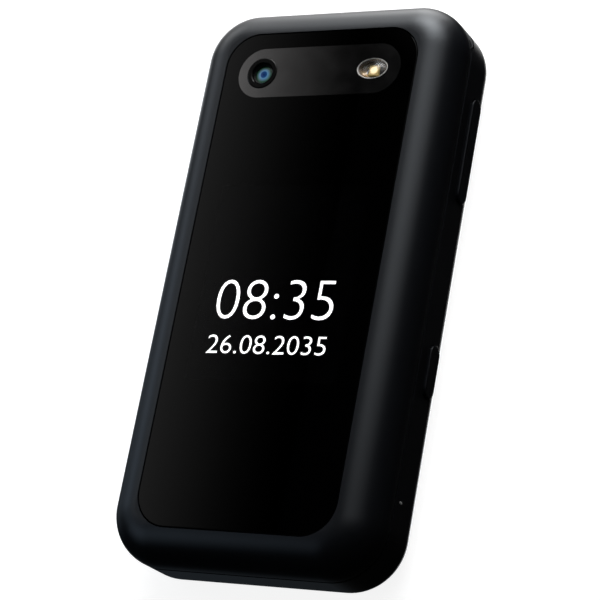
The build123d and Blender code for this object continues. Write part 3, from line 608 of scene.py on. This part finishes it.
def lettering(name, words, middle, size, thickness, body, material, thinned=0.0):
    """Flat characters that fill a size in millimetres and stand up by their thickness."""
    curve = bpy.data.curves.new(name, "FONT")
    curve.body = words
    curve.offset = -thinned
    curve.resolution_u = 5
    curve.extrude = 0.5  # to each side, so 1 in all
    drawing = bpy.data.objects.new(name, curve)
    scene.collection.objects.link(drawing)
    drawn = drawing.evaluated_get(bpy.context.evaluated_depsgraph_get())
    mesh = bpy.data.meshes.new_from_object(drawn)
    bpy.data.objects.remove(drawing)
    bpy.data.curves.remove(curve)
    shape = bmesh.new()
    shape.from_mesh(mesh)
    bpy.data.meshes.remove(mesh)
    low = Vector([min(vert.co[axis] for vert in shape.verts) for axis in range(3)])
    high = Vector([max(vert.co[axis] for vert in shape.verts) for axis in range(3)])
    width, height = size
    scale = height / (high.y - low.y)
    across = width / (high.x - low.x) if width else scale
    foot = (-(low.x + high.x) / 2, -(low.y + high.y) / 2, -low.z)
    bmesh.ops.translate(shape, verts=shape.verts, vec=foot)
    bmesh.ops.scale(shape, verts=shape.verts, vec=(across * MM, scale * MM, thickness * MM))
    moved(shape, middle)
    finished_piece(name, shape, body, material)


# -------------------- lit display behind the glass

display_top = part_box("outer_display")[1].z / MM
glyph_rise = 0.02
clock_middle = (-0.2, -5.2, display_top)
clock_size = (23.9, 7.5)
date_middle = (-0.3, -13.75, display_top)
date_size = (24.1, 3.5)
clock_thinned = 0.018
date_thinned = 0.01

for name, words, middle, size, thinned in (
    ("clock_digits", "08:35", clock_middle, clock_size, clock_thinned),
    ("date_digits", "26.08.2035", date_middle, date_size, date_thinned),
):
    lettering(name, words, middle, size, glyph_rise, "lid", lit, thinned)


# -------------------- camera and flash

ring_low, ring_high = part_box("camera_ring")
camera_x, camera_y = [(low + high) / 2 / MM for low, high in zip(ring_low.xy, ring_high.xy)]
glass_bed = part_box("camera_lens")[0].z / MM

barrel_profile = [(2.03, 0.02), (2.03, 0.7), (1.95, 0.76), (1.88, 0.66), (1.87, 0.5)]
barrel_profile += [(1.85, 0.42), (1.78, 0.36), (1.77, 0.26), (1.75, 0.02)]
cone = turned_profile(barrel_profile)
moved(cone, (camera_x, camera_y, glass_bed))
finished_piece("lens_barrel", cone, "lid", dark_barrel)

lens_profile = [(0, 0.02), (1.75, 0.02), (1.75, 0.16), (1.55, 0.2), (1.15, 0.26)]
lens_profile += [(0.75, 0.31), (0.36, 0.335), (0, 0.345)]
front = turned_profile(lens_profile, closed=False)
moved(front, (camera_x, camera_y, glass_bed))
# Blue tint by distance from the middle; the rings at 0.8 mm and 1.45 mm are painted glints.
tint_and_glints = coated_lens(
    "lens_tint_and_painted_glints",
    (camera_x, camera_y),
    [
        (0.0, (0.001, 0.012, 0.06)),
        (0.6, (0.003, 0.04, 0.16)),
        (0.8, (0.08, 0.21, 0.36)),
        (1.2, (0.06, 0.11, 0.13)),
        (1.45, (0.012, 0.06, 0.03)),
        (1.75, (0.006, 0.008, 0.008)),
    ],
    0.2,
)
element = finished_piece("lens_front_element", front, "lid", tint_and_glints)
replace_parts(element, "camera_lens")

flash_low, flash_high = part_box("flash_lens")
flash_middle = (flash_low + flash_high) / 2 / MM
flash_half = (flash_high - flash_low).xy / 2 / MM
flash_top = flash_high.z / MM
flash_floor = flash_low.z / MM
oval_segments = 64


def flash_shape(outline):
    """A turned profile, drawn out from a circle of radius 1 to the flash window's oval."""
    shape = turned_profile(outline, oval_segments, closed=False)
    bmesh.ops.scale(shape, verts=shape.verts, vec=(flash_half.x, flash_half.y, 1))
    moved(shape, (flash_middle.x, flash_middle.y, 0))
    return shape


# Outlines below pair a share of the oval's half size with a height.
flash_seat = flash_floor + 0.02
prism_floor = flash_floor + 0.3
prism_depth = 0.05
prism_count = 6
prism_start = 0.16
prism_pitch = 0.11
prism_flank = 0.01
window_edge = 0.93
window_drops = [(0, 0.03), (0.5, 0.033), (0.85, 0.042), (window_edge, 0.08)]
window_outline = [(reach, flash_top - drop) for reach, drop in window_drops]
window_outline += [(window_edge, flash_seat), (window_edge - 0.08, flash_seat)]
window_outline.append((window_edge - 0.1, prism_floor))
for prism in reversed(range(prism_count)):
    inner = prism_start + prism_pitch * prism
    outer = inner + prism_pitch - prism_flank
    window_outline += [(outer, prism_floor - prism_depth), (inner, prism_floor)]
window_outline.append((0, prism_floor))
window_shape = flash_shape(window_outline)
flash_cover = finished_piece("flash_window", window_shape, "lid", clear)
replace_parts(flash_cover, "flash_lens")

rim_inner, rim_outer = 0.94, 0.995
rim_inside = [(rim_inner, flash_seat), (rim_inner, flash_top - 0.12), (0.955, flash_top)]
rim_outside = [(0.98, flash_top + 0.03), (rim_outer, flash_top - 0.03), (rim_outer, flash_seat)]
rim_outline = rim_inside + rim_outside + rim_inside[:1]
finished_piece("flash_rim", flash_shape(rim_outline), "lid", bezel)

cup_low = flash_floor - 0.62
cup_top = flash_floor - 0.02
cup_inside = [(0.6, cup_low), (0.72, cup_low + 0.12), (0.85, cup_low + 0.34), (0.95, cup_top)]
cup_outside = [(0.98, cup_top), (0.9, cup_low + 0.3), (0.76, cup_low + 0.06), (0.6, cup_low - 0.05)]
cup_outline = cup_inside + cup_outside + cup_inside[:1]
finished_piece("flash_cup", flash_shape(cup_outline), "lid", reflector)


# -------------------- charge light in the base's right side

light_place = (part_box("rear_housing")[1].x / MM, -38.72, 9.05)
light_radius = 0.32
light_sunk = 0.2
light_stretch = (1, 0.8, 1.6)
bead_segments = 24
quarter_turn = Matrix.Rotation(pi / 2, 3, "Y")
bead_profile = [(0, -light_sunk), (light_radius, -light_sunk), (light_radius, 0.01)]
bead_profile += [(0.8 * light_radius, 0.04), (0, 0.06)]
bead = turned_profile(bead_profile, bead_segments, closed=False)
bmesh.ops.rotate(bead, verts=bead.verts, cent=(0, 0, 0), matrix=quarter_turn)
bmesh.ops.scale(bead, verts=bead.verts, vec=light_stretch)
moved(bead, light_place)
finished_piece("charge_light", bead, "base", pale_bead)


# -------------------- key markings

mark_rise = 0.012


def key_face(name):
    """The middle of a key's top, in millimetres."""
    low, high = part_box(name)
    return Vector(((low.x + high.x) / 2, (low.y + high.y) / 2, high.z)) / MM


def mark(name, shape, key, offset=(0, 0), material=legend):
    """A flat printed mark on a key, from a bmesh drawn about the origin in millimetres."""
    bmesh.ops.scale(shape, verts=shape.verts, vec=(MM, MM, 1))
    grown = bmesh.ops.extrude_face_region(shape, geom=list(shape.faces))
    raised = [item for item in grown["geom"] if isinstance(item, bmesh.types.BMVert)]
    bmesh.ops.translate(shape, verts=raised, vec=(0, 0, mark_rise * MM))
    face = key_face(key)
    moved(shape, (face.x + offset[0], face.y + offset[1], face.z))
    finished_piece(name, shape, key, material)


def flat_ring(inner, outer):
    shape = bmesh.new()
    for radius in (outer, inner):
        bmesh.ops.create_circle(shape, segments=round_segments, radius=radius)
    bmesh.ops.bridge_loops(shape, edges=list(shape.edges))
    return shape


def flat_shape(points):
    shape = bmesh.new()
    shape.faces.new([shape.verts.new((x, y, 0)) for x, y in points])
    return shape


number_height = 3.4
star_height = 2.2
arrow = [(-0.9, -0.45), (0.9, -0.45), (0, 0.6)]
arrow_reach = 7.6  # from the middle of the navigation key
soft_bar = [(-2, -0.22), (2, -0.22), (2, 0.22), (-2, 0.22)]
clear_tag = [(-2, 0), (-0.9, 1.1), (2, 1.1), (2, -1.1), (-0.9, -1.1)]
call_tilt = 40
grip_drop = 1.0
signs = {f"number_key_{digit}": str(digit) for digit in range(10)}
signs |= {"star_key": "*", "hash_key": "#"}
for key, sign in signs.items():
    height = star_height if sign == "*" else number_height
    lettering(f"{key}_mark", sign, key_face(key), (None, height), mark_rise, key, legend)

for end, turn in (("left", 1), ("right", -1), ("up", 0), ("down", 2)):
    quarter = Matrix.Rotation(turn * pi / 2, 3, "Z")
    shape = flat_shape(arrow)
    bmesh.ops.rotate(shape, verts=shape.verts, cent=(0, 0, 0), matrix=quarter)
    step = quarter @ Vector((0, arrow_reach, 0))
    mark(f"navigation_{end}_mark", shape, "navigation_key", step.xy)

mark("ok_mark", flat_ring(1.25, 1.55), "ok_key")
for side in ("left", "right"):
    mark(f"soft_{side}_mark", flat_shape(soft_bar), f"soft_key_{side}")


def arc(radius, angles):
    """Points along a handset's curved grip, at angles in degrees."""
    turns = [radians(angle) for angle in angles]
    return [(radius * cos(turn), radius * sin(turn) - grip_drop) for turn in turns]


def handset(tilt):
    """A handset seen from the side, a grip between two ends, turned by degrees."""
    outer = arc(2.2, range(150, 29, -12))
    inner = arc(1.45, range(30, 151, 12))
    ear = [(2.35, -0.35), (1.35, -0.75)]
    mouth = [(-1.35, -0.75), (-2.35, -0.35)]
    shape = flat_shape(outer + ear + inner + mouth)
    turn = Matrix.Rotation(radians(tilt), 3, "Z")
    bmesh.ops.rotate(shape, verts=shape.verts, cent=(0, 0, 0), matrix=turn)
    return shape


mark("call_mark", handset(call_tilt), "call_key", material=green_mark)
mark("end_mark", handset(0), "end_key", material=red_mark)
mark("clear_mark", flat_shape(clear_tag), "clear_key")


# -------------------- screws, their heads to the back

head_radius = 1.4
head_height = 0.6
thread_pitch = 0.35
root_radius, crest_radius = 0.56, 0.7
tip_radius = 0.35
head_chamfer = (0.15, 0.12)
screw_segments = 40
cross_reach = 0.85
cross_half_width = 0.17
recess_depth = 0.36
recess_floor = 0.75  # the share of the cross that is left at its floor
nearly_zero = 1e-6
lid_screw_places = [(x, y) for x in (-20.75, 20.75) for y in (-46.5, 35.5)]
base_screw_places = [(-19.5, -46.8), (19.5, -46.8), (-21.2, 35.0), (21.2, 35.0)]


def cross(angle):
    """How far a cross recess reaches at an angle."""
    along, across = sorted((abs(cos(angle)), abs(sin(angle))), reverse=True)
    return min(cross_reach / along, cross_half_width / max(across, nearly_zero))


def cross_screw(length):
    """A cross-recess screw that stands on its head, with its shank upwards."""
    plain_rings = [(head_radius - head_chamfer[0], 0), (head_radius, head_chamfer[1])]
    plain_rings += [(head_radius, head_height), (crest_radius, head_height)]
    for turn in range(int((length - head_height) / thread_pitch)):
        height = head_height + thread_pitch * (turn + 0.5)
        plain_rings += [(root_radius, height), (crest_radius, height + thread_pitch / 2)]
    plain_rings.append((tip_radius, length))
    rings = [(cross, recess_floor, recess_depth), (cross, 1, 0)]
    rings += [(None, radius, height) for radius, height in plain_rings]
    shape = bmesh.new()
    last = None
    for reach, size, height in rings:
        loop = bmesh.ops.create_circle(shape, segments=screw_segments, radius=MM)["verts"]
        for vert in loop:
            grow = size * (reach(atan2(vert.co.y, vert.co.x)) if reach else 1)
            vert.co = (vert.co.x * grow, vert.co.y * grow, height * MM)
        edges = list({edge for vert in loop for edge in vert.link_edges})
        if last:
            bmesh.ops.bridge_loops(shape, edges=last + edges)
        else:
            bmesh.ops.contextual_create(shape, geom=edges)
        last = edges
    bmesh.ops.contextual_create(shape, geom=last)
    return shape


def repeated(shape, places):
    """The same drawn piece at each place, as one mesh."""
    first = shape.verts[:] + shape.edges[:] + shape.faces[:]
    copies = [bmesh.ops.duplicate(shape, geom=first)["geom"] for _ in places[1:]]
    for geometry, (x, y) in zip([first] + copies, places):
        verts = [item for item in geometry if isinstance(item, bmesh.types.BMVert)]
        moved(shape, (x, y, 0), verts)
    return shape


screw_finish = brushed("screw_steel", (0.18, 0.18, 0.18), 0.3)
for node, body, places in (
    ("lid_screws", "lid", lid_screw_places),
    ("base_screws", "base", base_screw_places),
):
    low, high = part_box(node)
    shape = repeated(cross_screw((high.z - low.z) / MM), places)
    moved(shape, (0, 0, low.z / MM))
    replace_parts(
        finished_piece(node.replace("screws", "cross_screws"), shape, body, screw_finish),
        node,
    )


# -------------------- finishes of the phone's own pieces

black_plastic = (0.004, 0.0044, 0.0056)
steel = (0.5, 0.5, 0.5)
dress(casing("lid_plastic", black_plastic, 0.3), "lid_outer_shell")
dress(casing("base_plastic", black_plastic, 0.2), "rear_housing", "back_cover")
dress(casing("inner_plastic", (0.012, 0.013, 0.015), 0.35), "front_housing", "lid_inner_shell")
dress(casing("side_key_plastic", black_plastic, 0.26, gloss=0.1), "volume_key", "emergency_key")
keys = [name for name in nodes if name.endswith("_key") or "_key_" in name]
other_keys = ("volume_key", "emergency_key", "navigation_key")
front_keys = [name for name in keys if name not in other_keys]
dress(casing("key_plastic", (0.018, 0.019, 0.021), 0.38), *front_keys)
dress(plain("key_ring_grey", (0.1, 0.105, 0.11), 0.3, metallic=0.6), "navigation_key")
outer_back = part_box("window_glass")[0].z / MM + back_layer
inner_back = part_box("main_display_window")[1].z / MM - back_layer


def outer_bonded(z):
    return z.below(outer_back, bond_edge)


def inner_bonded(z):
    return 1 - z.below(inner_back, bond_edge)


outer_pane = printed_glass("outer_window", outer_view, outer_view_y, outer_bonded)
inner_pane = printed_glass("inner_window", inner_view, inner_view_y, inner_bonded)
dress(outer_pane, "window_glass")
dress(inner_pane, "main_display_window")
dress(plain("bar_grey", (0.286, 0.28, 0.28), 0.06, metallic=1.0, depth=0.0002), "camera_bar")
dress(plain("ring_black", (0.002, 0.002, 0.002), 0.12, Specular_IOR_Level=0.14), "camera_ring")
module_black = plain("module_black", (0.006, 0.006, 0.006), 0.5)
dress(module_black, "camera_module", "earpiece_speaker", "microphone")
dress(plain("display_off", (0.0008, 0.0008, 0.001), 0.4, Specular_IOR_Level=0.0), "outer_display")
dress(plain("main_panel", (0.001, 0.0011, 0.0013), 0.4, Specular_IOR_Level=0.0), "main_display")
dress(board("lid_board_green"), "lid_circuit_board")
dress(board("main_board_green"), "main_circuit_board")
dress(perforated("earpiece_steel", (0.06, 0.06, 0.06), 0.5), "earpiece_mesh")
dress(perforated("speaker_mesh", (0.05, 0.05, 0.05), 0.6), "loudspeaker")
dress(rubber("bumper_rubber", (0.012, 0.012, 0.012)), "lid_bumpers")
dress(rubber("mat_rubber", (0.09, 0.09, 0.095)), "key_mat")
dress(screw_finish, "lid_screws", "base_screws")
dress(brushed("pin_steel", steel, 0.2, (0.05, 1.0, 1.0)), "hinge_pins")
dress(brushed("spring_steel", steel, 0.28), "hinge_spring_module")
dress(brushed("shield_nickel", (0.6, 0.58, 0.53), 0.3), "shield_can")
socket_steel = brushed("socket_steel", (0.55, 0.55, 0.55), 0.3)
dress(socket_steel, "usb_socket", "sim_holder", "side_switches")
dress(brushed("motor_steel", (0.6, 0.6, 0.6), 0.22), "vibration_motor")
dress(plain("flex_film", (0.35, 0.12, 0.02), 0.3, Coat_Weight=0.5), "hinge_flex_cable")
dress(domed("dome_film"), "dome_sheet")
dress(wrapped("battery_wrap", (0.03, 0.03, 0.033), 14.0), "battery")
dress(plain("contact_black", (0.01, 0.01, 0.01), 0.4), "battery_contacts", "headset_socket")
dress(plain("antenna_film", (0.04, 0.04, 0.045), 0.35, metallic=0.5), "antenna")
led_middle = (flash_middle.x, flash_middle.y)
# The flash LED's yellow phosphor, with a painted glow over its die.
led_yellow_and_glow, led_edge = (1.0, 0.86, 0.55), (0.5, 0.36, 0.12)
dress(phosphor("led_phosphor_painted_glow", led_middle, 0.75, led_yellow_and_glow, led_edge), "flash_led")
undressed = [
    name
    for name, node in nodes.items()
    if not node.data.materials or not node.data.materials[0].use_nodes
]
if undressed:
    raise RuntimeError(f"no finish on {undressed}")

low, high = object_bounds()
